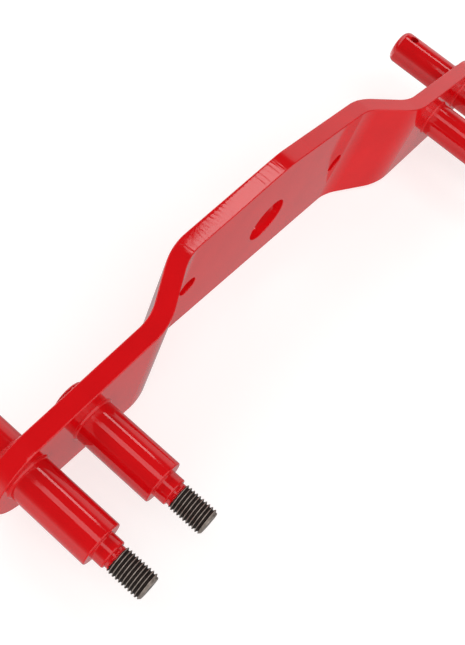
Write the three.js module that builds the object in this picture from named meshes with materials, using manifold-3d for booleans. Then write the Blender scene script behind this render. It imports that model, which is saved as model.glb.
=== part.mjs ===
// Offset hitch beam for an aircraft tow bar: a press-bent steel plate that carries
// four shouldered, threaded studs on its front and two plain hitch pins on its back.
//
// Units are millimetres, +Z is up. X runs along the beam, the studs point to -Y and the
// hitch pins to +Y. Z = 0 is the straight bottom edge of the centre section, X = 0 is
// half way along the beam, and Y = 0 is the plane that stays half way between the stud
// tips and the pin ends.

import * as THREE from 'three';
import { mergeVertices } from 'three/addons/utils/BufferGeometryUtils.js';
import Module from 'manifold-3d';

const wasm = await Module();
wasm.setup();

// ---------------------------------------------------------------- driving dimensions

// beam plate, bent into a shallow hat
const PLATE_THICKNESS = 14.3;        // 9/16 in plate
const CENTRE_SETBACK = 27;           // front of the end plates to front of the centre section
const CENTRE_HALF = 116.6;           // mid-beam to the first bend, on the front face
const BEND_ANGLE = 29;               // degrees that each web leans from the beam's line
const BEND_INSIDE_RADIUS = 44;
const END_REACH = 311.3;             // mid-beam to the round tip of the plate

// plate outline, seen from the front
const PEAK_HEIGHT = 117.5;           // top edge at mid-beam
const TOP_FALL_CENTRE = 12.5;        // drop of the top edge from mid-beam to the first bend
const TOP_FALL_WEB = 7.1;            // drop of the top edge along the web
const TOP_SLOPE_END = 0.134;         // drop of the top edge per mm along the end plate
const BOTTOM_RISE_WEB = 4.5;         // rise of the bottom edge along the web
const BOTTOM_SLOPE_END = 0.037;      // rise of the bottom edge per mm along the end plate

// holes in the centre section
const HOLE_HEIGHT = 52.8;            // every hole and stud is bored on this height
const CENTRE_HOLE_DIAMETER = 40;
const SIDE_HOLE_DIAMETER = 17;
const SIDE_HOLE_X = 99.3;

// studs and pins
const INNER_STUD_X = 228.6;          // 18 in between the inner studs
const OUTER_STUD_X = 285.75;         // 22 1/2 in between the outer studs
const BOSS_DIAMETER = 31.75;         // 1 1/4 in bar
const BOSS_LENGTH = 61.5;
const BOSS_CHAMFER = 0.8;
const NECK_DIAMETER = 20;
const NECK_LENGTH = 9.5;
const NECK_CHAMFER = 1.2;
const UNDERCUT_DIAMETER = 16.4;
const UNDERCUT_LENGTH = 2;
const THREAD_DIAMETER = 19.05;       // 3/4-10 UNC
const THREAD_PITCH = 2.54;
const THREAD_LENGTH = 27;
const THREAD_DEPTH = 1.45;
const TIP_CHAMFER = 1.8;

// rear ends: the outer bars run through the plate as hitch pins, the inner ones stop short
const PIN_DIAMETER = 31;
const PIN_LENGTH = 63.5;             // 2 1/2 in, from the back of the plate
const PIN_END_ROUND = 6;
const CROSS_HOLE_DIAMETER = 8;
const CROSS_HOLE_FROM_END = 13;
const SPIGOT_DIAMETER = 25.4;        // turned down to pass through the plate
const SPIGOT_PROUD = 8.6;
const SPIGOT_CHAMFER = 1.2;

// weld beads
const FRONT_WELD_LEG = 1.6;
const REAR_WELD_LEG = 5.5;

// fits
const GAP = 0.3;                     // clearance between pieces that touch

// facet counts
const BEND_STEPS = 12;
const ARC_STEPS = 18;
const HOLE_SEGMENTS = 40;
const BAR_SEGMENTS = 24;
const WELD_SEGMENTS = 32;
const END_ROUND_STEPS = 5;

// ---------------------------------------------------------------- worked-out dimensions

const bend = THREE.MathUtils.degToRad(BEND_ANGLE);
const bendHalfTan = Math.tan(bend / 2);
const webRun = CENTRE_SETBACK / Math.tan(bend);
const endStart = CENTRE_HALF + webRun;
const plateBack = PLATE_THICKNESS;
const centreBack = CENTRE_SETBACK + PLATE_THICKNESS;

const shoulderY = -BOSS_LENGTH;
const neckEndY = shoulderY - NECK_LENGTH;
const threadStartY = neckEndY - UNDERCUT_LENGTH;
const tipY = threadStartY - THREAD_LENGTH;
const pinEndY = plateBack + PIN_LENGTH;
const spigotEndY = plateBack + SPIGOT_PROUD;

// the part's origin is the middle of its box: shift that takes the design frame to it
const middleY = (tipY + Math.max(pinEndY, centreBack)) / 2;

// ---------------------------------------------------------------- solids

// A closed three.js geometry as a manifold solid.
function solid(geometry) {
  const bare = geometry.clone();
  for (const name of Object.keys(bare.attributes)) {
    if (name !== 'position') bare.deleteAttribute(name);
  }
  const merged = mergeVertices(bare, 1e-5);
  return new wasm.Manifold(new wasm.Mesh({
    numProp: 3,
    vertProperties: new Float32Array(merged.attributes.position.array),
    triVerts: new Uint32Array(merged.index.array),
  }));
}

// A manifold solid as a three.js geometry.
function geometryOf(body) {
  const mesh = body.getMesh();
  const geometry = new THREE.BufferGeometry();
  geometry.setAttribute('position', new THREE.BufferAttribute(mesh.vertProperties, 3));
  geometry.setIndex(new THREE.BufferAttribute(mesh.triVerts, 1));
  return geometry;
}

// Points of the arc that rounds `corner`, tangent to its two straight legs.
function roundedCorner(before, corner, after, radius, steps) {
  const legIn = before.clone().sub(corner).normalize();
  const legOut = after.clone().sub(corner).normalize();
  const halfAngle = Math.acos(THREE.MathUtils.clamp(legIn.dot(legOut), -1, 1)) / 2;
  const bisector = legIn.clone().add(legOut).normalize();
  const centre = corner.clone().addScaledVector(bisector, radius / Math.sin(halfAngle));
  const start = corner.clone().addScaledVector(legIn, radius / Math.tan(halfAngle)).sub(centre);
  const side = Math.sign(start.cross(legIn.clone().negate()));
  const turn = side * (Math.PI - 2 * halfAngle);
  const points = [];
  for (let i = 0; i <= steps; i += 1) {
    const spoke = start.clone().rotateAround(new THREE.Vector2(), turn * (i / steps));
    points.push(spoke.add(centre));
  }
  return points;
}

// A profile of [radius, y] pairs turned about the bar's own axis, which points along Y.
function turned(profile, segments) {
  const points = profile.map(([radius, y]) => new THREE.Vector2(radius, y));
  return new THREE.LatheGeometry(points, segments);
}

// A cylinder along Y, from y = from to y = to, that cuts a hole at (x, HOLE_HEIGHT).
function boreAlongY(x, diameter, from, to) {
  const tool = new THREE.CylinderGeometry(diameter / 2, diameter / 2, to - from, HOLE_SEGMENTS);
  tool.translate(x, (from + to) / 2, HOLE_HEIGHT);
  return solid(tool);
}

// ---------------------------------------------------------------- beam plate

// The bent line that lies `depth` behind the front face, from the -X end to the +X end.
// At the inner pair of bends the front face is the inside of the bend, and at the outer
// pair it is the outside.
function bentLine(depth) {
  const inner = new THREE.Vector2(CENTRE_HALF + depth * bendHalfTan, CENTRE_SETBACK + depth);
  const outer = new THREE.Vector2(endStart + depth * bendHalfTan, depth);
  const middle = new THREE.Vector2(0, inner.y);
  const end = new THREE.Vector2(END_REACH + PLATE_THICKNESS, depth);
  const innerRadius = BEND_INSIDE_RADIUS + depth;
  const outerRadius = BEND_INSIDE_RADIUS + PLATE_THICKNESS - depth;
  const half = [
    ...roundedCorner(middle, inner, outer, innerRadius, BEND_STEPS),
    ...roundedCorner(inner, outer, end, outerRadius, BEND_STEPS),
    end,
  ];
  const mirrored = half.map((point) => new THREE.Vector2(-point.x, point.y)).reverse();
  return [...mirrored, ...half];
}

// The bent strip, taller than the plate and square at its ends.
function bentStrip() {
  const shape = new THREE.Shape([...bentLine(0), ...bentLine(PLATE_THICKNESS).reverse()]);
  const margin = PLATE_THICKNESS;
  const height = PEAK_HEIGHT + 2 * margin;
  const strip = new THREE.ExtrudeGeometry(shape, { depth: height, bevelEnabled: false });
  strip.translate(0, 0, -margin);
  return solid(strip);
}

// The outline as cut from flat plate and seen from the front: a peaked top edge, a
// straight bottom, tapered end plates and full-round tips.
function outlineBlock() {
  const topAtBend = PEAK_HEIGHT - TOP_FALL_CENTRE;
  const topAtEnd = topAtBend - TOP_FALL_WEB;
  const top = (x) => topAtEnd - TOP_SLOPE_END * (x - endStart);
  const bottom = (x) => BOTTOM_RISE_WEB + BOTTOM_SLOPE_END * (x - endStart);

  // the tip is the circle that touches the top edge, the bottom edge and x = END_REACH
  const topLength = Math.hypot(1, TOP_SLOPE_END);
  const bottomLength = Math.hypot(1, BOTTOM_SLOPE_END);
  const radius = (top(END_REACH) - bottom(END_REACH))
    / (topLength + bottomLength - TOP_SLOPE_END - BOTTOM_SLOPE_END);
  const centreX = END_REACH - radius;
  const centreZ = top(centreX) - radius * topLength;
  const startAngle = -Math.PI / 2 + Math.atan(BOTTOM_SLOPE_END);
  const endAngle = Math.PI / 2 - Math.atan(TOP_SLOPE_END);
  const tip = [];
  for (let i = 0; i <= ARC_STEPS; i += 1) {
    const angle = THREE.MathUtils.lerp(startAngle, endAngle, i / ARC_STEPS);
    tip.push(new THREE.Vector2(
      centreX + radius * Math.cos(angle),
      centreZ + radius * Math.sin(angle),
    ));
  }

  const half = [
    new THREE.Vector2(CENTRE_HALF, 0),
    new THREE.Vector2(endStart, BOTTOM_RISE_WEB),
    ...tip,
    new THREE.Vector2(endStart, topAtEnd),
    new THREE.Vector2(CENTRE_HALF, topAtBend),
  ];
  const peak = new THREE.Vector2(0, PEAK_HEIGHT);
  const mirrored = half.map((point) => new THREE.Vector2(-point.x, point.y)).reverse();
  const shape = new THREE.Shape([...half, peak, ...mirrored]);
  const depth = centreBack + 2 * PLATE_THICKNESS;
  const block = new THREE.ExtrudeGeometry(shape, { depth, bevelEnabled: false });
  block.rotateX(Math.PI / 2);
  block.translate(0, depth - PLATE_THICKNESS, 0);
  return solid(block);
}

function beamPlate() {
  const from = -PLATE_THICKNESS;
  const to = centreBack + PLATE_THICKNESS;
  let plate = bentStrip().intersect(outlineBlock());
  plate = plate.subtract(boreAlongY(0, CENTRE_HOLE_DIAMETER, from, to));
  for (const side of [-1, 1]) {
    plate = plate.subtract(boreAlongY(side * SIDE_HOLE_X, SIDE_HOLE_DIAMETER, from, to));
    plate = plate.subtract(boreAlongY(side * INNER_STUD_X, SPIGOT_DIAMETER + 2 * GAP, from, to));
    plate = plate.subtract(boreAlongY(side * OUTER_STUD_X, PIN_DIAMETER + 2 * GAP, from, to));
  }
  return geometryOf(plate);
}

// ---------------------------------------------------------------- studs and pins

// The plane where a bar steps from the boss to what is behind it: just in front of the
// plate where the boss is the wider, level with the plate's face where it is the narrower.
function stepPlane(diameterBehind) {
  return diameterBehind > BOSS_DIAMETER ? 0 : -GAP;
}

// The front of every bar, from the free end of the thread back to `stepY`: chamfered tip,
// thread cut as a row of V rings, undercut, neck, shoulder and boss.
function studFront(stepY) {
  const boss = BOSS_DIAMETER / 2;
  const neck = NECK_DIAMETER / 2;
  const major = THREAD_DIAMETER / 2;
  const root = major - THREAD_DEPTH;
  const undercut = UNDERCUT_DIAMETER / 2;
  const runOut = major - undercut;
  const profile = [
    [0, tipY],
    [major - TIP_CHAMFER, tipY],
    [major, tipY + TIP_CHAMFER],
  ];
  const rings = Math.floor((THREAD_LENGTH - TIP_CHAMFER - runOut) / THREAD_PITCH);
  for (let i = 1; i <= rings; i += 1) {
    const y = tipY + TIP_CHAMFER + i * THREAD_PITCH;
    profile.push([root, y - THREAD_PITCH / 2]);
    profile.push([major, y]);
  }
  profile.push([major, threadStartY - runOut]);
  profile.push([undercut, threadStartY]);
  profile.push([undercut, neckEndY]);
  profile.push([neck - NECK_CHAMFER, neckEndY]);
  profile.push([neck, neckEndY + NECK_CHAMFER]);
  profile.push([neck, shoulderY]);
  profile.push([boss - BOSS_CHAMFER, shoulderY]);
  profile.push([boss, shoulderY + BOSS_CHAMFER]);
  profile.push([boss, stepY]);
  return profile;
}

// An outer bar: boss and thread in front, hitch pin with a rounded end behind.
function outerPin() {
  const pin = PIN_DIAMETER / 2;
  const stepY = stepPlane(PIN_DIAMETER);
  const profile = studFront(stepY);
  profile.push([pin, stepY]);
  for (let i = 0; i <= END_ROUND_STEPS; i += 1) {
    const angle = (Math.PI / 2) * (i / END_ROUND_STEPS);
    profile.push([
      pin - PIN_END_ROUND * (1 - Math.cos(angle)),
      pinEndY - PIN_END_ROUND * (1 - Math.sin(angle)),
    ]);
  }
  profile.push([0, pinEndY]);
  const drill = new THREE.CylinderGeometry(
    CROSS_HOLE_DIAMETER / 2,
    CROSS_HOLE_DIAMETER / 2,
    PIN_DIAMETER * 2,
    BAR_SEGMENTS,
  );
  drill.rotateX(Math.PI / 2);
  drill.translate(0, pinEndY - CROSS_HOLE_FROM_END, 0);
  return geometryOf(solid(turned(profile, BAR_SEGMENTS)).subtract(solid(drill)));
}

// An inner bar: the same front, with a turned spigot that passes through the plate.
function innerStud() {
  const spigot = SPIGOT_DIAMETER / 2;
  const stepY = stepPlane(SPIGOT_DIAMETER);
  const profile = studFront(stepY);
  profile.push([spigot, stepY]);
  profile.push([spigot, spigotEndY - SPIGOT_CHAMFER]);
  profile.push([spigot - SPIGOT_CHAMFER, spigotEndY]);
  profile.push([0, spigotEndY]);
  return turned(profile, BAR_SEGMENTS);
}

// ---------------------------------------------------------------- weld beads

// A front bead reaches across the clearance slot round the bar behind it, where that slot is
// wider than the boss, and still keeps its whole leg on the plate.
function frontWeldLeg(diameterBehind) {
  const slot = (diameterBehind + 2 * GAP - BOSS_DIAMETER) / 2;
  return FRONT_WELD_LEG + Math.max(slot, 0);
}

// A ring of weld round a bar: a three-sided fillet against the plate face at `faceY`,
// on the side that `direction` (+1 back, -1 front) points to.
function weldBead(barDiameter, leg, faceY, direction) {
  const inner = barDiameter / 2 + GAP;
  const foot = faceY + direction * GAP;
  const bulge = leg * 0.56;
  const profile = [
    [inner, foot],
    [inner + leg, foot],
    [inner + bulge, foot + direction * bulge],
    [inner, foot + direction * leg],
    [inner, foot],
  ];
  if (direction < 0) profile.reverse();
  return turned(profile, WELD_SEGMENTS);
}

// ---------------------------------------------------------------- assembly

const part = new THREE.Group();
part.position.set(0, -middleY, 0);

function addPiece(name, geometry, material, x, z) {
  const mesh = new THREE.Mesh(geometry, material);
  mesh.name = name;
  mesh.position.set(x, 0, z);
  part.add(mesh);
}

const redPaint = (colour) => new THREE.MeshStandardMaterial({
  color: colour,
  roughness: 0.22,
  metalness: 0,
});

addPiece('beam_plate', beamPlate(), redPaint('#cf1418'), 0, 0);

const sides = [['left', -1], ['right', 1]];
for (const [side, sign] of sides) {
  const outerX = sign * OUTER_STUD_X;
  const innerX = sign * INNER_STUD_X;
  addPiece(`outer_pin_${side}`, outerPin(), redPaint('#cc1216'), outerX, HOLE_HEIGHT);
  addPiece(`inner_stud_${side}`, innerStud(), redPaint('#cc1216'), innerX, HOLE_HEIGHT);
  addPiece(
    `front_weld_outer_${side}`,
    weldBead(BOSS_DIAMETER, frontWeldLeg(PIN_DIAMETER), 0, -1),
    redPaint('#c81015'),
    outerX,
    HOLE_HEIGHT,
  );
  addPiece(
    `front_weld_inner_${side}`,
    weldBead(BOSS_DIAMETER, frontWeldLeg(SPIGOT_DIAMETER), 0, -1),
    redPaint('#c81015'),
    innerX,
    HOLE_HEIGHT,
  );
  addPiece(
    `rear_weld_outer_${side}`,
    weldBead(PIN_DIAMETER, REAR_WELD_LEG, plateBack, 1),
    redPaint('#c81015'),
    outerX,
    HOLE_HEIGHT,
  );
  addPiece(
    `rear_weld_inner_${side}`,
    weldBead(SPIGOT_DIAMETER, REAR_WELD_LEG, plateBack, 1),
    redPaint('#c81015'),
    innerX,
    HOLE_HEIGHT,
  );
}

export default part;
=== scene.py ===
"""Offset hitch beam: a press-bent steel plate with four shouldered, threaded studs in
front and two drilled hitch pins behind, all under one coat of gloss red enamel that ends
raggedly on the first turn of each thread.

X runs along the beam, Y from the front to the back, and Z up. Lengths are in metres, and
most are written in millimetres times MM.
"""

import math

import bpy
import numpy as np
from mathutils import Matrix, Quaternion, Vector


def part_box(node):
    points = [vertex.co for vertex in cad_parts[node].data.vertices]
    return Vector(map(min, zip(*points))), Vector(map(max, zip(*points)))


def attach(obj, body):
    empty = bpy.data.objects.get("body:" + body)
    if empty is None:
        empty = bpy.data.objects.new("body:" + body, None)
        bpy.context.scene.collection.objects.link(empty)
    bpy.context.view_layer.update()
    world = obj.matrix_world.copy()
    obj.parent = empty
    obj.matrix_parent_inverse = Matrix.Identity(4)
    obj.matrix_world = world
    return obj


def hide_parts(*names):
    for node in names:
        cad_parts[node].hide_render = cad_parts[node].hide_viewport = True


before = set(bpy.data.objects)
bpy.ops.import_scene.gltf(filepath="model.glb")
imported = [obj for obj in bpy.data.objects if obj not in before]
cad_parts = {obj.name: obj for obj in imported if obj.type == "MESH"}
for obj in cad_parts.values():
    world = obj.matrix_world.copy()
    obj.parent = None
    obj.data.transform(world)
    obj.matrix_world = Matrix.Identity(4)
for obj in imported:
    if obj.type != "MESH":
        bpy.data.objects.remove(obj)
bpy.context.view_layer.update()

MM = 0.001

# ------------------------------------------------------------------ sizes

plate_low, plate_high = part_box("beam_plate")

# plate
THICKNESS = 14.3 * MM
BEND = math.radians(29)
BEND_INSIDE = 44 * MM
CENTRE_HALF = 116.6 * MM          # mid-beam to the first bend, on the front face
FRONT = plate_low.y               # front face of the end plates
SETBACK = plate_high.y - plate_low.y - THICKNESS
REACH = plate_high.x              # mid-beam to the round tip
PEAK = plate_high.z
END_START = CENTRE_HALF + SETBACK / math.tan(BEND)
TOP_FALL_CENTRE = 12.5 * MM
TOP_FALL_WEB = 7.1 * MM
TOP_SLOPE_END = 0.134
BOTTOM_RISE_WEB = 4.5 * MM
BOTTOM_SLOPE_END = 0.037
PEAK_EASE = 3.5 * MM              # how far the two top slopes melt into each other
RIM_ROUND = 0.8 * MM              # dressed and painted corner of the cut edge
HOLE_ROUND = 0.6 * MM
CENTRE_HOLE_RADIUS = 20 * MM
SIDE_HOLE_RADIUS = 8.5 * MM
SIDE_HOLE_X = 99.3 * MM
SLIP = 0.3 * MM                   # clearance of the bars in their holes
BEND_COLUMNS = 31                 # across one bend
TIP_COLUMNS = 121                 # round the full-round tip
CORNER_ROWS = 6                   # across a round corner of the cut edge
EDGE_ROWS = 8                     # through the cut edge, counting both its ends

# cut edge
EDGE_STEP = 0.6 * MM              # spacing of the columns along the rim
DRAG_SEED = 11
DRAG_WAVES = 26
DRAG_WAVE_MM = (1.5, 6)           # shortest and longest wave
DRAG_DRIFT = 0.25                 # most that a wave leans to either side
DRAG_CALM = 5                     # divides the sum of the waves
DRAG_DEPTH = 0.022 * MM           # cutter's drag lines, softened by the paint
DRAG_LAG = 2.5 * MM               # how far a drag line trails through the thickness

# bars
BOSS_LENGTH = 61.5 * MM
NECK_RADIUS = 10 * MM
NECK_LENGTH = 9.5 * MM
UNDERCUT_RADIUS = 8.2 * MM
UNDERCUT_LENGTH = 2 * MM
THREAD_RADIUS = 9.525 * MM
THREAD_PITCH = 2.54 * MM
THREAD_DEPTH = 1.45 * MM
TIP_CHAMFER = 1.8 * MM
PIN_RADIUS = 15.5 * MM
PIN_END_ROUND = 6 * MM
CROSS_HOLE_RADIUS = 4 * MM
CROSS_HOLE_FROM_END = 13 * MM
SPIGOT_RADIUS = 12.7 * MM
BAR_SIDES = 112
CROSS_HOLE_SIDES = 48
THREAD_SIDES = 80
THREAD_ROWS_PER_PITCH = 18
ROOT_FLAT = 0.16                  # share of the half pitch that lies flat at the root
CREST_FLAT = 0.88                 # share of the half pitch where the flat crest starts
UNDERCUT_ROW = 0.4 * MM           # from the thread's end to the next ring of points
TIP_SHEEN = 0.93                   # painted highlight on the tip chamfer and the end face: how near they come to the crests' painted highlight
END_SHEEN = 0.84
PAINTED_TURNS = 0.45              # of each thread, caught by the spray

# welds
FRONT_LEG = 1.7 * MM
REAR_LEG = 5.5 * MM
BEAD_BASE = 0.9                   # leg before any swell, as a share of the legs above
BEAD_BOW = 0.11                   # how far the face bows out, as a share of the leg
BEAD_ROWS = 11                    # from toe to toe
FRONT_UNEVEN = 0.15               # how strongly the ripples and the wander show
REAR_UNEVEN = 1.0
WANDER = (0.01, 0.03)             # least and most of each slow wave, as a share of the leg
RIPPLE_PITCH = 2.2 * MM
RIPPLE_SIDES = 8                  # points along one ripple
RIPPLE_RISE = 0.06                # as a share of the leg
RIPPLE_LAG = 0.9                  # radians by which a ripple's middle trails its ends
RIPPLE_POWER = 0.7                # under 1 for broad crests and narrow valleys
BITE = 0.15 * MM                  # how far a bead sinks into the metal that it joins

SIDES = (("left", -1), ("right", 1))


# ------------------------------------------------------------------ mesh helpers

def put_mesh(name, points, faces, smooth_angle=38):
    """A mesh object from an array of points and a list of faces, sharp only past an angle."""
    mesh = bpy.data.meshes.new(name)
    mesh.from_pydata(points.reshape(-1, 3).tolist(), [], faces)
    mesh.validate()
    mesh.shade_smooth()
    mesh.set_sharp_from_angle(angle=math.radians(smooth_angle))
    piece = bpy.data.objects.new(name, mesh)
    bpy.context.scene.collection.objects.link(piece)
    return piece


def weigh_normals(piece):
    """Lets the large flats set the shading, so that a round corner doesn't tilt them."""
    weigh = piece.modifiers.new("flat_faces_lead", "WEIGHTED_NORMAL")
    weigh.mode = "FACE_AREA"
    weigh.weight = 100
    weigh.keep_sharp = True


def cut(piece, cutters, smooth_angle=38):
    """Takes closed cutter solids away from a piece and bakes the result into its mesh."""
    for cutter in cutters:
        boolean = piece.modifiers.new("drill", "BOOLEAN")
        boolean.operation = "DIFFERENCE"
        boolean.solver = "EXACT"
        boolean.object = cutter
    bpy.context.view_layer.update()
    graph = bpy.context.evaluated_depsgraph_get()
    drilled = bpy.data.meshes.new_from_object(piece.evaluated_get(graph))
    piece.modifiers.clear()
    piece.data = drilled
    drilled.shade_smooth()
    drilled.set_sharp_from_angle(angle=math.radians(smooth_angle))
    for cutter in cutters:
        bpy.data.objects.remove(cutter)


def rounded(corners, radii, steps=7):
    """The outline through `corners`, with all but the first and last replaced by the arc of
    its radius that touches both its legs: the arc's centre lies on the bisector,
    radius / sin(half) away."""
    corners = np.array(corners, float)
    line = [corners[:1]]
    for before, corner, after, radius in zip(corners, corners[1:], corners[2:], radii):
        leg_in = (before - corner) / np.linalg.norm(before - corner)
        leg_out = (after - corner) / np.linalg.norm(after - corner)
        half = math.acos(np.clip(leg_in @ leg_out, -1, 1)) / 2
        middle = (leg_in + leg_out) / np.linalg.norm(leg_in + leg_out)
        centre = corner + middle * radius / math.sin(half)
        start = corner + leg_in * radius / math.tan(half) - centre
        end = corner + leg_out * radius / math.tan(half) - centre
        turn = math.pi - 2 * half
        share = np.linspace(0, 1, steps)[:, None]
        blend = np.sin((1 - share) * turn) * start + np.sin(share * turn) * end
        line.append(centre + blend / math.sin(turn))
    line.append(corners[-1:])
    return np.concatenate(line)


def ring_faces(rows, sides):
    """Quads between neighbouring rings of a tube, with a fan to a point at each end."""
    row, side = np.meshgrid(np.arange(rows - 1), np.arange(sides), indexing="ij")
    here = row * sides + side
    beside = row * sides + (side + 1) % sides
    quads = np.stack([here, here + sides, beside + sides, beside], -1).reshape(-1, 4)
    around = np.arange(sides)
    first = np.stack([np.full(sides, rows * sides), around, (around + 1) % sides], -1)
    last_ring = (rows - 1) * sides
    last = np.stack([
        np.full(sides, rows * sides + 1),
        last_ring + (around + 1) % sides,
        last_ring + around,
    ], -1)
    return quads.tolist() + first.tolist() + last.tolist()


def turned(name, profile, x, z, sides=BAR_SIDES):
    """A profile of (radius, y) rows turned about the line through (x, z) along Y. Its
    first and last rows lie on the axis."""
    radius, y = profile[1:-1, :1], profile[1:-1, 1:]
    angle = np.linspace(0, 2 * math.pi, sides, endpoint=False)[None, :]
    points = np.stack(np.broadcast_arrays(
        x + radius * np.cos(angle),
        y,
        z + radius * np.sin(angle),
    ), -1).reshape(-1, 3)
    ends = np.array([[x, profile[0, 1], z], [x, profile[-1, 1], z]])
    return put_mesh(name, np.concatenate([points, ends]), ring_faces(len(radius), sides))


# ------------------------------------------------------------------ plate

def front_stations():
    """The front face's line from mid-beam to the end of the second bend, as x, y and
    heading: a straight, an arc about a point in front, a straight and an arc about a point
    behind, each touching the next. `marks` are the stations where each of the four ends."""
    tight, wide = BEND_INSIDE, BEND_INSIDE + THICKNESS
    bend_1 = CENTRE_HALF - tight * math.tan(BEND / 2)
    bend_2 = END_START - wide * math.tan(BEND / 2) * math.cos(BEND)
    angle = np.linspace(0, BEND, BEND_COLUMNS)
    x_1 = bend_1 + tight * np.sin(angle)
    y_1 = FRONT + SETBACK - tight * (1 - np.cos(angle))
    x_2 = END_START + wide * math.tan(BEND / 2) - wide * np.sin(angle[::-1])
    y_2 = FRONT + wide * (1 - np.cos(angle[::-1]))
    flat = np.linspace(0, bend_1, int(bend_1 / EDGE_STEP))[:-1]
    share = np.linspace(0, 1, int((bend_2 - x_1[-1]) / EDGE_STEP))[1:-1]
    x = np.concatenate([flat, x_1, x_1[-1] + share * (x_2[0] - x_1[-1]), x_2])
    y = np.concatenate([
        np.full(len(flat), FRONT + SETBACK),
        y_1,
        y_1[-1] + share * (y_2[0] - y_1[-1]),
        y_2,
    ])
    heading = np.concatenate([
        np.zeros(len(flat)),
        -angle,
        np.full(len(share), -BEND),
        -angle[::-1],
    ])
    marks = np.cumsum([len(flat), len(angle) - 1, len(share) + 1, len(angle) - 1])
    return x, y, heading, marks


def top_edge(x):
    """Height of the top edge: three slopes each side, eased into each other at mid-beam."""
    x = np.abs(x)
    eased = np.sqrt(x ** 2 + PEAK_EASE ** 2) - PEAK_EASE
    centre = PEAK - TOP_FALL_CENTRE / CENTRE_HALF * eased
    at_bend = PEAK - TOP_FALL_CENTRE / CENTRE_HALF * (CENTRE_HALF - PEAK_EASE)
    fall_web = (at_bend - (PEAK - TOP_FALL_CENTRE - TOP_FALL_WEB)) / (END_START - CENTRE_HALF)
    web = at_bend - fall_web * (x - CENTRE_HALF)
    end = PEAK - TOP_FALL_CENTRE - TOP_FALL_WEB - TOP_SLOPE_END * (x - END_START)
    outside_centre = np.where(x < END_START, web, end)
    return np.minimum(centre, np.where(x < CENTRE_HALF, centre, outside_centre))


def bottom_edge(x):
    """Height of the bottom edge: level at the centre, rising along the web and the end."""
    x = np.abs(x)
    web = BOTTOM_RISE_WEB * (x - CENTRE_HALF) / (END_START - CENTRE_HALF)
    end = BOTTOM_RISE_WEB + BOTTOM_SLOPE_END * (x - END_START)
    return np.where(x < END_START, np.maximum(web, 0), end)


def tip_circle():
    """Centre and radius of the full-round tip: the circle that touches the top edge, the
    bottom edge and the upright line x = REACH."""
    top_length = math.hypot(1, TOP_SLOPE_END)
    bottom_length = math.hypot(1, BOTTOM_SLOPE_END)
    height = float(top_edge(REACH) - bottom_edge(REACH))
    slopes = TOP_SLOPE_END + BOTTOM_SLOPE_END
    radius = height / (top_length + bottom_length - slopes)
    x = REACH - radius
    return x, float(top_edge(x)) - radius * top_length, radius


def drag_lines(along, depth):
    """How far the cut edge lies under its true line: waves of random lengths, every one
    trailing backwards as it goes through the thickness, louder in patches."""
    rng = np.random.default_rng(DRAG_SEED)
    trail = along + DRAG_LAG * (depth / THICKNESS) ** 2
    total = np.zeros_like(trail)
    for length in rng.uniform(*DRAG_WAVE_MM, DRAG_WAVES):
        phase = rng.uniform(0, 2 * math.pi)
        drift = rng.uniform(-DRAG_DRIFT, DRAG_DRIFT)
        total += np.sin(2 * math.pi * (trail + drift * depth) / (length * MM) + phase)
    loud = 0.6 + 0.4 * np.sin(along / (11 * MM) + 1.3) * np.sin(along / (27 * MM))
    return DRAG_DEPTH * loud * np.maximum(1 + total / DRAG_CALM, 0)


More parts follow.
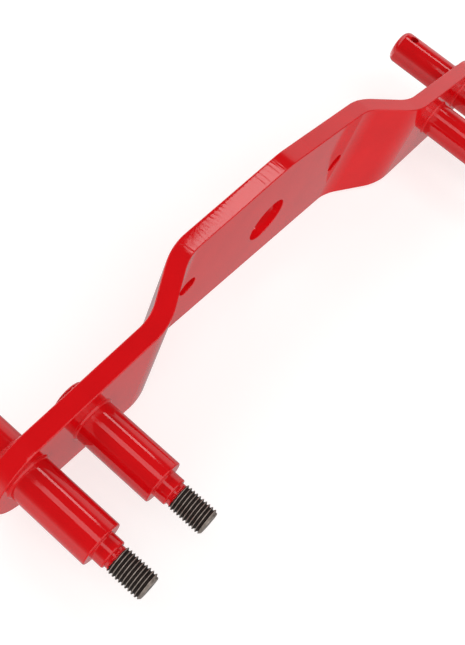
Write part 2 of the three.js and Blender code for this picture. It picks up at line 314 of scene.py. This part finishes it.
def beam_plate():
    """The rim is a profile (front corner arc, cut edge, back corner arc) carried round the
    outline. The faces between are flat pieces and, in the bends, upright strips."""
    x, y, heading, marks = front_stations()
    tip_x, tip_z, tip_radius = tip_circle()
    low = -math.pi / 2 + math.atan(BOTTOM_SLOPE_END)
    high = math.pi / 2 - math.atan(TOP_SLOPE_END)
    tip_angle = np.linspace(low, high, TIP_COLUMNS)
    end_low = tip_x + tip_radius * math.cos(low)
    end_high = tip_x + tip_radius * math.cos(high)
    run_low = np.arange(x[-1] + EDGE_STEP, end_low - EDGE_STEP / 2, EDGE_STEP)
    run_high = np.arange(x[-1] + EDGE_STEP, end_high - EDGE_STEP / 2, EDGE_STEP)

    # one half of the loop, from mid-beam along the bottom, round the tip and back on top
    def chained(bottom, run_bottom, tip, run_top, top):
        return np.concatenate([bottom, run_bottom, tip, run_top[::-1], top[::-1]])

    zero_low, zero_high, zero_tip = run_low * 0, run_high * 0, tip_angle * 0
    line_x = chained(x, run_low, tip_x + tip_radius * np.cos(tip_angle), run_high, x)
    line_y = chained(y, zero_low + FRONT, zero_tip + FRONT, zero_high + FRONT, y)
    turn = chained(heading, zero_low, zero_tip, zero_high, heading)
    kind = chained(x * 0 - 1, zero_low - 1, zero_tip, zero_high + 1, x * 0 + 1)
    tip_at = chained(x * 0, zero_low, tip_angle, zero_high, x * 0)
    along = np.concatenate([[0], np.cumsum(np.hypot(np.diff(line_x), np.diff(line_y)))])

    corner = np.linspace(0, math.pi / 2, CORNER_ROWS)
    edge = np.linspace(0, 1, EDGE_ROWS)[1:-1]
    depth = np.concatenate([
        RIM_ROUND * (1 - np.cos(corner)),
        RIM_ROUND + edge * (THICKNESS - 2 * RIM_ROUND),
        THICKNESS - RIM_ROUND * (1 - np.cos(corner[::-1])),
    ])[None, :]
    inset = np.concatenate([
        RIM_ROUND * (1 - np.sin(corner)),
        edge * 0,
        RIM_ROUND * (1 - np.sin(corner[::-1])),
    ])[None, :]
    settle = 1 - inset / RIM_ROUND
    sink = inset + settle * drag_lines(along[:, None], depth)

    kind, tip_at = kind[:, None], tip_at[:, None]
    px = line_x[:, None] - np.sin(turn[:, None]) * depth
    py = line_y[:, None] + np.cos(turn[:, None]) * depth
    pz = np.where(kind > 0, top_edge(px) - sink, bottom_edge(px) + sink)
    on_tip = kind == 0
    px = np.where(on_tip, px - np.cos(tip_at) * sink, px)
    pz = np.where(on_tip, tip_z + (tip_radius - sink) * np.sin(tip_at), pz)
    right = np.stack([px, py, pz], -1)
    left = right[::-1][1:-1] * np.array([-1, 1, 1])
    loop = np.concatenate([right, left])
    columns, rows = loop.shape[:2]

    column, row = np.meshgrid(np.arange(columns), np.arange(rows - 1), indexing="ij")
    here = column * rows + row
    beside = (column + 1) % columns * rows + row
    faces = np.stack([here, here + 1, beside + 1, beside], -1).reshape(-1, 4).tolist()

    # column numbers of a station on the right and on the left, along the bottom and top
    half = len(right)

    def bottom_right(k):
        return k

    def top_right(k):
        return half - 1 - k

    def bottom_left(k):
        return (columns - k) % columns

    def top_left(k):
        return half - 1 + k

    bend_1_start, bend_1_end, bend_2_start, last = marks
    flats = [
        [bottom_left(k) for k in range(bend_1_start, 0, -1)]
        + [bottom_right(k) for k in range(bend_1_start + 1)]
        + [top_right(k) for k in range(bend_1_start, -1, -1)]
        + [top_left(k) for k in range(1, bend_1_start + 1)],
        [bottom_right(k) for k in range(bend_1_end, bend_2_start + 1)]
        + [top_right(k) for k in range(bend_2_start, bend_1_end - 1, -1)],
        [bottom_left(k) for k in range(bend_2_start, bend_1_end - 1, -1)]
        + [top_left(k) for k in range(bend_1_end, bend_2_start + 1)],
        list(range(bottom_right(last), top_right(last) + 1)),
        list(range(top_left(last), bottom_left(last) + 1)),
    ]
    bends = [*range(bend_1_start, bend_1_end), *range(bend_2_start, last)]
    strips = [[bottom_right(k), bottom_right(k + 1), top_right(k + 1), top_right(k)] for k in bends]
    strips += [[bottom_left(k + 1), bottom_left(k), top_left(k), top_left(k + 1)] for k in bends]
    for patch in flats + strips:
        faces.append([c * rows for c in patch])
        faces.append([c * rows + rows - 1 for c in reversed(patch)])
    return put_mesh("beam_plate_enamel", loop, faces)


def bore(name, x, z, radius, near, far, flare):
    """A cutter along Y, with lips that flare through an arc of `flare` at both faces and
    run on straight past them."""
    margin = THICKNESS
    run_on = 0.1                  # how far the straight part rises, as a share of the margin
    steep = np.linspace(math.radians(12), math.pi / 2, 7)
    lip_radius = radius + flare * (1 - np.sin(steep))
    lip_depth = flare * (1 - np.cos(steep))
    out_radius = lip_radius[0] + margin / math.tan(steep[0]) * run_on
    out_depth = (out_radius - lip_radius[0]) * math.tan(steep[0])
    front = np.stack([lip_radius, near + lip_depth], -1)
    back = np.stack([lip_radius[::-1], far - lip_depth[::-1]], -1)
    profile = np.concatenate([
        [[0, near - margin], [out_radius, near - margin]],
        [[out_radius, near + lip_depth[0] - out_depth]],
        front,
        back,
        [[out_radius, far - lip_depth[0] + out_depth]],
        [[out_radius, far + margin], [0, far + margin]],
    ])
    return turned(name, profile, x, z)


# ------------------------------------------------------------------ bars

def bar_front(boss_radius):
    """Corners and corner radii of a bar's painted front: neck, shoulder and boss."""
    shoulder = FRONT - BOSS_LENGTH
    neck_end = shoulder - NECK_LENGTH
    corners = [
        [0, neck_end],
        [NECK_RADIUS, neck_end],
        [NECK_RADIUS, shoulder],
        [boss_radius, shoulder],
    ]
    return corners, [1.1 * MM, 0.5 * MM, 0.9 * MM]


def inner_bar(node_name):
    low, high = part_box(node_name)
    boss = (high.x - low.x) / 2
    corners, radii = bar_front(boss)
    corners += [[boss, FRONT], [SPIGOT_RADIUS, FRONT], [SPIGOT_RADIUS, high.y], [0, high.y]]
    radii += [0.1 * MM, 0.1 * MM, 1.2 * MM]
    x, z = (low.x + high.x) / 2, (low.z + high.z) / 2
    return turned(f"{node_name}_enamel", rounded(corners, radii), x, z)


def outer_bar(node_name):
    low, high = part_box(node_name)
    boss = (high.x - low.x) / 2
    x, z = (low.x + high.x) / 2, (low.z + high.z) / 2
    corners, radii = bar_front(boss)
    corners += [[boss, FRONT], [PIN_RADIUS, FRONT], [PIN_RADIUS, high.y], [0, high.y]]
    radii += [0.1 * MM, 0.05 * MM, PIN_END_ROUND]
    bar = turned(f"{node_name}_enamel", rounded(corners, radii, steps=9), x, z)
    drill = turned(
        f"{node_name}_drill",
        np.array([
            [0, -2 * PIN_RADIUS],
            [CROSS_HOLE_RADIUS, -2 * PIN_RADIUS],
            [CROSS_HOLE_RADIUS, 2 * PIN_RADIUS],
            [0, 2 * PIN_RADIUS],
        ]),
        0, 0, sides=CROSS_HOLE_SIDES,
    )
    drill.data.transform(Matrix.Rotation(math.pi / 2, 4, "X"))
    drill.data.transform(Matrix.Translation((x, high.y - CROSS_HOLE_FROM_END, z)))
    cut(bar, [drill])
    return bar


def stud_thread(node_name):
    """Unified thread: radius = root + depth x a flat-topped triangle wave of
    (y / pitch + angle / turn), held under a 45 degree chamfer at the tip and a 45 degree
    run-out at the undercut. `crest` keeps how close each point is to the thread's crest."""
    low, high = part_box(node_name)
    x, z = (low.x + high.x) / 2, (low.z + high.z) / 2
    tip = low.y
    neck_end = FRONT - BOSS_LENGTH - NECK_LENGTH
    start = neck_end - UNDERCUT_LENGTH
    rows = int((start - tip) / THREAD_PITCH * THREAD_ROWS_PER_PITCH)
    in_undercut = [start + UNDERCUT_ROW, neck_end + BITE]
    y = np.concatenate([np.linspace(tip, start, rows), in_undercut])[:, None]
    angle = np.linspace(0, 2 * math.pi, THREAD_SIDES, endpoint=False)[None, :]
    wave = 2 * np.abs((y / THREAD_PITCH + angle / (2 * math.pi)) % 1 - 0.5)
    crest = np.clip((wave - ROOT_FLAT) / (CREST_FLAT - ROOT_FLAT), 0, 1)
    radius = THREAD_RADIUS - THREAD_DEPTH * (1 - crest)
    radius = np.minimum(radius, THREAD_RADIUS - TIP_CHAMFER + (y - tip))
    radius = np.minimum(radius, UNDERCUT_RADIUS + np.maximum(start - y, 0))
    points = np.stack(np.broadcast_arrays(
        x + radius * np.cos(angle), y, z + radius * np.sin(angle)), -1).reshape(-1, 3)
    ends = np.array([[x, tip, z], [x, neck_end + BITE, z]])
    faces = ring_faces(len(y), THREAD_SIDES)
    thread = put_mesh(f"{node_name}_thread", np.concatenate([points, ends]), faces, smooth_angle=60)
    # Painted highlight: the crests, the tip chamfer and the end face are stored as levels that the
    # thread's material turns light grey.
    height = (radius - THREAD_RADIUS + THREAD_DEPTH) / THREAD_DEPTH
    height = np.where(y < tip + TIP_CHAMFER, TIP_SHEEN, height)
    painted_sheen_level = np.concatenate([np.clip(height, 0, 1).ravel(), [END_SHEEN, 0]])
    attribute = thread.data.attributes.new("crest", "FLOAT", "POINT")
    attribute.data.foreach_set("value", painted_sheen_level.astype(np.float32))
    return thread


# ------------------------------------------------------------------ welds

def weld_bead(node_name, bar_radius, leg, face_y, direction, uneven, seed):
    """A fillet carried round the bar: a bowed face from the toe on the plate to the toe on
    the bar. Its leg swells and falls in ripples as the torch moved on, with a slow wander."""
    low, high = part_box(node_name)
    x, z = (low.x + high.x) / 2, (low.z + high.z) / 2
    around = int(2 * math.pi * (bar_radius + leg / 2) / RIPPLE_PITCH)
    sides = around * RIPPLE_SIDES
    angle = np.linspace(0, 2 * math.pi, sides, endpoint=False)[None, :]
    rng = np.random.default_rng(seed)
    wander = sum(
        rng.uniform(*WANDER) * np.sin(k * angle + rng.uniform(0, 2 * math.pi))
        for k in (1, 2, 3, 5)
    )
    share = np.linspace(0, 1, BEAD_ROWS)[:, None]
    lag = RIPPLE_LAG * np.sin(math.pi * share)
    ripple = np.abs(np.sin((around * angle / 2) + lag)) ** RIPPLE_POWER
    swell = wander + RIPPLE_RISE * ripple * np.sin(math.pi * share)
    size = leg * (BEAD_BASE + uneven * swell)
    bow = BEAD_BOW * np.sin(math.pi * share)
    out = np.concatenate([size * (1 - share + bow), [[-BITE] * sides], [[-BITE] * sides]])
    up = np.concatenate([size * (share + bow), size[-1:], [[-BITE] * sides]])
    up[0] = -BITE
    out[-3] = -BITE
    points = np.stack(np.broadcast_arrays(
        x + (bar_radius + out) * np.cos(angle),
        face_y + direction * up,
        z + (bar_radius + out) * np.sin(angle),
    ), -1)
    rows = len(points)
    row, side = np.meshgrid(np.arange(rows), np.arange(sides), indexing="ij")
    here = row * sides + side
    beside = row * sides + (side + 1) % sides
    above = (row + 1) % rows * sides + side
    across = (row + 1) % rows * sides + (side + 1) % sides
    order = [here, above, across, beside] if direction > 0 else [here, beside, across, above]
    faces = np.stack(order, -1).reshape(-1, 4).tolist()
    return put_mesh(f"{node_name}_enamel", points, faces, smooth_angle=70)


# ------------------------------------------------------------------ materials

def linear(code):
    """sRGB hex such as '#ce0b11' as linear red, green, blue and a full alpha."""
    parts = np.array([int(code[k:k + 2], 16) for k in (1, 3, 5)]) / 255
    low = parts / 12.92
    high = ((parts + 0.055) / 1.055) ** 2.4
    return (*np.where(parts <= 0.04045, low, high).tolist(), 1.0)


def node(tree, kind, settings=None, links=None):
    """Adds one node. `settings` are its own properties or the values of its sockets, and
    `links` joins its input sockets to other nodes' outputs."""
    made = tree.nodes.new(kind)
    for key, value in (settings or {}).items():
        if isinstance(key, str) and hasattr(made, key) and key not in made.inputs:
            setattr(made, key, value)
        else:
            made.inputs[key].default_value = value
    for key, output in (links or {}).items():
        tree.links.new(output, made.inputs[key])
    return made


def noise(tree, place, size, detail=2.0, roughness=0.5):
    """Soft random cloud, 0 to 1, with lumps about `size` across."""
    settings = {"Scale": 1 / size, "Detail": detail, "Roughness": roughness}
    return node(tree, "ShaderNodeTexNoise", settings, {"Vector": place}).outputs["Fac"]


def mapped(tree, value, start, end, low=0.0, high=1.0, kind="LINEAR"):
    """`value` taken from start..end to low..high, and held there beyond the ends."""
    return node(tree, "ShaderNodeMapRange", {
        "interpolation_type": kind,
        "From Min": start,
        "From Max": end,
        "To Min": low,
        "To Max": high,
    }, {"Value": value}).outputs["Result"]


def bumped(tree, height, depth, strength=1.0, under=None):
    """A normal tilted by `height`, laid over the normal `under` if there is one."""
    links = {"Height": height} if under is None else {"Height": height, "Normal": under}
    settings = {"Strength": strength, "Distance": depth}
    return node(tree, "ShaderNodeBump", settings, links).outputs["Normal"]


def two_tone(tree, value, low_colour, high_colour, low_at=0.0, high_at=1.0):
    """A blend between two colours as `value` goes from low_at to high_at."""
    made = node(tree, "ShaderNodeValToRGB", links={"Fac": value})
    low_stop, high_stop = made.color_ramp.elements
    low_stop.position, high_stop.position = low_at, high_at
    low_stop.color, high_stop.color = linear(low_colour), linear(high_colour)
    return made.outputs["Color"]


def new_material(name):
    material = bpy.data.materials.new(name)
    material.use_nodes = True
    material.node_tree.nodes.clear()
    return material, material.node_tree


def enamel_layer(tree, peel_depth, lump_depth, lump_size):
    """Two-pack gloss enamel sprayed on steel: deep red with a wet gloss, a faint orange
    peel, and slightly darker where the coat ran thicker. Returns its shader's output."""
    place = node(tree, "ShaderNodeTexCoord").outputs["Object"]
    cloud = noise(tree, place, 38 * MM, detail=3.0, roughness=0.55)
    tone = two_tone(tree, cloud, "#c60a10", "#d10c12", 0.3, 0.7)
    gloss = mapped(tree, noise(tree, place, 9 * MM), 0.0, 1.0, 0.04, 0.08)
    peel = noise(tree, place, 1.6 * MM, detail=1.5)
    skin = bumped(tree, peel, peel_depth)
    lumps = noise(tree, place, lump_size)
    body = bumped(tree, lumps, lump_depth, under=skin)
    paint = node(tree, "ShaderNodeBsdfPrincipled", {"IOR": 1.5, "Metallic": 0.0},
                 {"Base Color": tone, "Roughness": gloss, "Normal": body})
    return paint.outputs["BSDF"]


def sprayed_enamel(name, peel_depth, lump_depth, lump_size):
    material, tree = new_material(name)
    coat = enamel_layer(tree, peel_depth, lump_depth, lump_size)
    node(tree, "ShaderNodeOutputMaterial", links={"Surface": coat})
    return material


def oiled_thread_steel(name, paint_edge):
    """Rolled thread left bare: black-brown oiled steel, with a painted highlight of light grey
    along the crests, on the tip chamfer and on the end face.
    The paint of the neck runs over the undercut and ends along a ragged line near
    y = `paint_edge`."""
    material, tree = new_material(name)
    place = node(tree, "ShaderNodeTexCoord").outputs["Object"]
    crest = node(tree, "ShaderNodeAttribute", {"attribute_name": "crest"}).outputs["Fac"]
    stain = noise(tree, place, 2.5 * MM, detail=4.0)
    # Painted highlight: light grey where the crest level, stirred by the stain noise, runs high,
    # and the oiled black-brown elsewhere.
    stain_and_sheen = node(tree, "ShaderNodeMath", {"operation": "MULTIPLY_ADD", 1: 0.3}, {0: stain, 2: crest})
    painted_sheen = mapped(tree, stain_and_sheen.outputs["Value"], 0.93, 1.19)
    colour = two_tone(tree, painted_sheen, "#362c28", "#aea197")
    rough = mapped(tree, painted_sheen, 0.0, 1.0, 0.55, 0.34)
    grain = noise(tree, place, 0.5 * MM)
    bump = bumped(tree, grain, 0.03 * MM, strength=0.5)
    steel = node(tree, "ShaderNodeBsdfPrincipled", {"Metallic": 0.6},
                 {"Base Color": colour, "Roughness": rough, "Normal": bump})
    coat = enamel_layer(tree, 0.004 * MM, 0.02 * MM, 3 * MM)
    along = node(tree, "ShaderNodeSeparateXYZ", links={"Vector": place}).outputs["Y"]
    ragged_by = 2.2 * MM
    ragged = node(tree, "ShaderNodeMath", {"operation": "MULTIPLY_ADD", 1: ragged_by},
                  {0: stain, 2: along})
    bare, full = paint_edge + 1.0 * MM, paint_edge + 1.25 * MM
    covered = mapped(tree, ragged.outputs["Value"], bare, full)
    both = node(tree, "ShaderNodeMixShader", links={0: covered, 1: steel.outputs["BSDF"], 2: coat})
    node(tree, "ShaderNodeOutputMaterial", links={"Surface": both.outputs["Shader"]})
    return material


def pale_floor_board():
    """Matt pale board with a barely seen mottle. It gives off light of its own, so that
    it stays clean and pale round the beam."""
    material, tree = new_material("pale_floor_board")
    place = node(tree, "ShaderNodeTexCoord").outputs["Object"]
    tone = two_tone(tree, noise(tree, place, 300 * MM), "#b2b2b1", "#b7b7b6")
    board = node(tree, "ShaderNodeBsdfPrincipled",
                 {"Roughness": 0.7, "Specular IOR Level": 0.2, "Emission Strength": 1.38},
                 {"Base Color": tone, "Emission Color": tone})
    node(tree, "ShaderNodeOutputMaterial", links={"Surface": board.outputs["BSDF"]})
    return material


# ------------------------------------------------------------------ build

def finish_piece(piece, material, slot, *stands_for):
    piece.data.materials.clear()
    piece.data.materials.append(material)
    weigh_normals(piece)
    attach(piece, "root")
    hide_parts(*stands_for)


plate_paint = sprayed_enamel("plate_gloss_enamel", 0.004 * MM, 0.03 * MM, 14 * MM)
bar_paint = sprayed_enamel("bar_gloss_enamel", 0.004 * MM, 0.02 * MM, 9 * MM)
weld_paint = sprayed_enamel("weld_gloss_enamel", 0.01 * MM, 0.12 * MM, 2 * MM)
thread_end = FRONT - BOSS_LENGTH - NECK_LENGTH - UNDERCUT_LENGTH
thread_steel = oiled_thread_steel("oiled_thread_steel", thread_end - PAINTED_TURNS * THREAD_PITCH)

plate = beam_plate()
stud_low, stud_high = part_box("inner_stud_left")
hole_z = (stud_low.z + stud_high.z) / 2
centre_front = FRONT + SETBACK
bores = [bore("centre_bore", 0, hole_z, CENTRE_HOLE_RADIUS,
              centre_front, centre_front + THICKNESS, HOLE_ROUND)]
for side, sign in SIDES:
    bores.append(bore(f"side_bore_{side}", sign * SIDE_HOLE_X, hole_z, SIDE_HOLE_RADIUS,
                      centre_front, centre_front + THICKNESS, HOLE_ROUND))
    bars = ((f"inner_stud_{side}", SPIGOT_RADIUS), (f"outer_pin_{side}", PIN_RADIUS))
    for node_name, radius in bars:
        low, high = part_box(node_name)
        bores.append(bore(f"{node_name}_bore", (low.x + high.x) / 2, hole_z, radius + SLIP,
                          FRONT, FRONT + THICKNESS, HOLE_ROUND))
cut(plate, bores)
finish_piece(plate, plate_paint, "plate_paint", "beam_plate")

seed = 20                         # the first bead's is one more, and so on
for side, _ in SIDES:
    for bar in (outer_bar(f"outer_pin_{side}"), inner_bar(f"inner_stud_{side}")):
        finish_piece(bar, bar_paint, "bar_paint", bar.name.removesuffix("_enamel"))
    for node_name in (f"outer_pin_{side}", f"inner_stud_{side}"):
        finish_piece(stud_thread(node_name), thread_steel, "thread_steel", node_name)
    low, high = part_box(f"inner_stud_{side}")
    boss = (high.x - low.x) / 2
    beads = (
        (f"front_weld_outer_{side}", boss, FRONT_LEG, FRONT, -1, FRONT_UNEVEN),
        (f"front_weld_inner_{side}", boss, FRONT_LEG, FRONT, -1, FRONT_UNEVEN),
        (f"rear_weld_outer_{side}", PIN_RADIUS, REAR_LEG, FRONT + THICKNESS, 1, REAR_UNEVEN),
        (f"rear_weld_inner_{side}", SPIGOT_RADIUS, REAR_LEG, FRONT + THICKNESS, 1, REAR_UNEVEN),
    )
    for bead in beads:
        seed += 1
        finish_piece(weld_bead(*bead, seed), weld_paint, "weld_paint", bead[0])


# ------------------------------------------------------------------ floor, light, camera

def stage_disc(name, radius, height, sides=64):
    """A flat disc, drawn as one many-sided face."""
    angle = np.linspace(0, 2 * math.pi, sides, endpoint=False)
    points = np.stack([radius * np.cos(angle), radius * np.sin(angle), height + 0 * angle], -1)
    disc = put_mesh(name, points, [list(range(len(angle)))])
    return disc


def stage_dome(name, radius, sides=48, rows=24):
    """A sphere seen from inside: a half circle turned about Y."""
    rise = np.linspace(-math.pi / 2, math.pi / 2, rows)
    profile = np.stack([radius * np.cos(rise), radius * np.sin(rise)], -1)
    dome = turned(name, profile, 0, 0, sides)
    return dome


def panel(name, place, across, along, radiance, aim=(0, 0, 0.05), spin=0.0):
    """A softbox whose long side runs along Y, turned to face `aim` and then spun about its
    own middle. A face of radiance L and area A gives off pi x L x A."""
    light = bpy.data.lights.new(name, "AREA")
    light.shape = "RECTANGLE"
    light.size, light.size_y = across, along
    light.energy = radiance * math.pi * across * along
    box = bpy.data.objects.new(name, light)
    bpy.context.scene.collection.objects.link(box)
    back = (Vector(place) - Vector(aim)).normalized()
    side = Vector((0, 1, 0)).cross(back).normalized()
    facing = Matrix((side, back.cross(side), back)).transposed() @ Matrix.Rotation(spin, 3, "Z")
    box.matrix_world = Matrix.Translation(place) @ facing.to_4x4()


floor = stage_disc("pale_floor", radius=7.0, height=-0.2 * MM)
floor.data.materials.append(pale_floor_board())
floor.visible_glossy = False

dome = stage_dome("studio_backdrop", radius=9.0)
backdrop, backdrop_tree = new_material("backdrop_paper")
paper = node(backdrop_tree, "ShaderNodeEmission", {"Color": linear("#ffffff"), "Strength": 1.0})
node(backdrop_tree, "ShaderNodeOutputMaterial", links={"Surface": paper.outputs["Emission"]})
dome.data.materials.append(backdrop)
dome.visible_diffuse = False
dome.visible_glossy = False
dome.visible_transmission = False
dome.visible_shadow = False
dome.visible_volume_scatter = False

# Soft room light. For directions that lean to the back, its brightness goes by the angle
# round Y, the bars' own axis, in degrees from +X up to +Z.
ROOM = (
    (-180, 0.4), (-168, 1.2), (-156, 1.05), (-130, 0.7), (-95, 0.6), (-55, 0.4), (-20, 0.45),
    (-4, 0.95), (15, 1.0), (32, 0.92), (39, 0.2), (47, 0.08), (160, 0.1), (172, 0.2), (180, 0.4),
)
world = bpy.data.worlds.new("studio")
bpy.context.scene.world = world
world.use_nodes = True
sky = world.node_tree
sky.nodes.clear()
toward = node(sky, "ShaderNodeTexCoord").outputs["Generated"]
parts = node(sky, "ShaderNodeSeparateXYZ", links={"Vector": toward})
spin = node(sky, "ShaderNodeMath", {"operation": "ARCTAN2"},
            {0: parts.outputs["Z"], 1: parts.outputs["X"]})
share = mapped(sky, spin.outputs["Value"], -math.pi, math.pi)
ring = node(sky, "ShaderNodeValToRGB", links={"Fac": share})
stops = ring.color_ramp.elements
while len(stops) < len(ROOM):
    stops.new(0.5)
for stop, (degrees, level) in zip(stops, ROOM):
    stop.position = (degrees + 180) / 360
    stop.color = (level, level, level, 1.0)

# To the front it is dim below the horizon, and above it bright except far to the right.
FRONT_BELOW = 0.4
FRONT_RIGHT, FRONT_LEFT = 0.15, 1.4
rise = mapped(sky, parts.outputs["Z"], -0.1, 0.1)
swing = mapped(sky, parts.outputs["X"], 0.62, 0.4, FRONT_RIGHT, FRONT_LEFT)
front = node(sky, "ShaderNodeMix", {"data_type": "FLOAT", 2: FRONT_BELOW}, {0: rise, 3: swing})
lean = mapped(sky, parts.outputs["Y"], 0.05, -0.15, kind="SMOOTHSTEP")
glow = node(sky, "ShaderNodeMix", {"data_type": "RGBA"},
            {0: lean, 6: ring.outputs["Color"], 7: front.outputs[0]})

# A fill stands well behind, high and low but not level with the beam.
REAR_FILL = (2.2, 2.2, 2.2, 1.0)
behind = mapped(sky, parts.outputs["Y"], 0.46, 0.56)
steep = node(sky, "ShaderNodeMath", {"operation": "ABSOLUTE"}, {0: parts.outputs["Z"]})
off_level = mapped(sky, steep.outputs["Value"], 0.3, 0.5)
amount = node(sky, "ShaderNodeMath", {"operation": "MULTIPLY"}, {0: behind, 1: off_level})
fill = node(sky, "ShaderNodeMix", {"data_type": "RGBA", 7: REAR_FILL},
            {0: amount.outputs["Value"], 6: glow.outputs[2]})
room = node(sky, "ShaderNodeBackground", {"Strength": 1.0}, {"Color": fill.outputs[2]})
node(sky, "ShaderNodeOutputWorld", links={"Surface": room.outputs["Background"]})

panel(
    "side_box", place=(0.898, 0.418, 1.796), across=0.35, along=0.31, radiance=4.1,
    aim=(-0.042, -0.002, 0.106), spin=math.radians(2),
)
panel("ceiling_box", place=(-0.889, -0.01, 2.09), across=0.78, along=0.94, radiance=1.85)

CAMERA_PLACE = Vector((-0.4998, -0.1247, 0.6010))
CAMERA_LOOK = Vector((0.58233, 0.17465, -0.79397))
CAMERA_ROLL = math.radians(26.829)
camera_data = bpy.data.cameras.new("camera")
camera_data.sensor_width = 36
camera_data.lens = 53.575
camera_data.clip_start = 0.05
camera_data.clip_end = 50
camera = bpy.data.objects.new("camera", camera_data)
bpy.context.scene.collection.objects.link(camera)
camera.rotation_mode = "QUATERNION"
camera.location = CAMERA_PLACE
camera_turn = Quaternion((0, 0, 1), CAMERA_ROLL)
camera.rotation_quaternion = CAMERA_LOOK.to_track_quat("-Z", "Y") @ camera_turn
bpy.context.scene.camera = camera
bpy.context.scene.view_settings.view_transform = "Standard"
